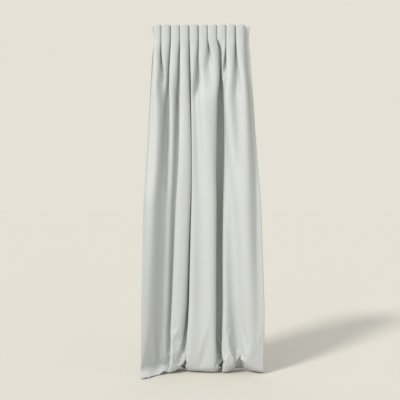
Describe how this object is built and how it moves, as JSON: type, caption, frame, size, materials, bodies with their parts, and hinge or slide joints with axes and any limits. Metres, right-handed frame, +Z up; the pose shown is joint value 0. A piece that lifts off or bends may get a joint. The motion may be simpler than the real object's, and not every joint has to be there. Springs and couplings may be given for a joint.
{
  "type": "curtain panel",
  "caption": "Pencil-pleat fabric curtain panel on hooks, gathered at the heading and falling in soft folds to a hem that rests on the floor.",
  "frame": {"origin": "saddle of the middle curtain hook, where the glider's eye bears", "axes": "+Z up, -Y into the room (the face side), +X along the rail towards the return edge"},
  "size_m": [0.8751, 0.2302, 2.44],
  "materials": {
    "curtain_cloth": "plain woven cloth with a soft satin sheen, pale cool grey",
    "heading_tape": "ribbed woven tape, off-white",
    "draw_cord": "braided cord, off-white",
    "hook_nylon": "moulded white nylon, satin",
    "label": "blank woven satin label"
  },
  "bodies": {
    "curtain": {"curtain_cloth": "curtain_cloth", "heading_tape": "heading_tape", "draw_cord_top": "draw_cord", "draw_cord_middle": "draw_cord", "draw_cord_bottom": "draw_cord", "care_label": "label", "hook_11": "hook_nylon"},
    "hook_01": {"hook_01": "hook_nylon"},
    "hook_02": {"hook_02": "hook_nylon"},
    "hook_03": {"hook_03": "hook_nylon"},
    "hook_04": {"hook_04": "hook_nylon"},
    "hook_05": {"hook_05": "hook_nylon"},
    "hook_06": {"hook_06": "hook_nylon"},
    "hook_07": {"hook_07": "hook_nylon"},
    "hook_08": {"hook_08": "hook_nylon"},
    "hook_09": {"hook_09": "hook_nylon"},
    "hook_10": {"hook_10": "hook_nylon"}
  },
  "joints": [
    {"name": "draw", "type": "slide", "parent": "curtain", "child": "hook_01", "axis": [1, 0, 0], "range_m": [0, 0.325], "deforming": ["curtain_cloth", "heading_tape", "draw_cord_top", "draw_cord_middle", "draw_cord_bottom", "care_label"]},
    {"name": "draw_hook_02", "type": "slide", "parent": "curtain", "child": "hook_02", "axis": [1, 0, 0], "range_m": [0, 0.2925]},
    {"name": "draw_hook_03", "type": "slide", "parent": "curtain", "child": "hook_03", "axis": [1, 0, 0], "range_m": [0, 0.26]},
    {"name": "draw_hook_04", "type": "slide", "parent": "curtain", "child": "hook_04", "axis": [1, 0, 0], "range_m": [0, 0.2275]},
    {"name": "draw_hook_05", "type": "slide", "parent": "curtain", "child": "hook_05", "axis": [1, 0, 0], "range_m": [0, 0.195]},
    {"name": "draw_hook_06", "type": "slide", "parent": "curtain", "child": "hook_06", "axis": [1, 0, 0], "range_m": [0, 0.1625]},
    {"name": "draw_hook_07", "type": "slide", "parent": "curtain", "child": "hook_07", "axis": [1, 0, 0], "range_m": [0, 0.13]},
    {"name": "draw_hook_08", "type": "slide", "parent": "curtain", "child": "hook_08", "axis": [1, 0, 0], "range_m": [0, 0.0975]},
    {"name": "draw_hook_09", "type": "slide", "parent": "curtain", "child": "hook_09", "axis": [1, 0, 0], "range_m": [0, 0.065]},
    {"name": "draw_hook_10", "type": "slide", "parent": "curtain", "child": "hook_10", "axis": [1, 0, 0], "range_m": [0, 0.0325]}
  ],
  "couplings": [
    {"joint": "draw_hook_02", "follows": "draw", "ratio": 0.9},
    {"joint": "draw_hook_03", "follows": "draw", "ratio": 0.8},
    {"joint": "draw_hook_04", "follows": "draw", "ratio": 0.7},
    {"joint": "draw_hook_05", "follows": "draw", "ratio": 0.6},
    {"joint": "draw_hook_06", "follows": "draw", "ratio": 0.5},
    {"joint": "draw_hook_07", "follows": "draw", "ratio": 0.4},
    {"joint": "draw_hook_08", "follows": "draw", "ratio": 0.3},
    {"joint": "draw_hook_09", "follows": "draw", "ratio": 0.2},
    {"joint": "draw_hook_10", "follows": "draw", "ratio": 0.1}
  ]
}
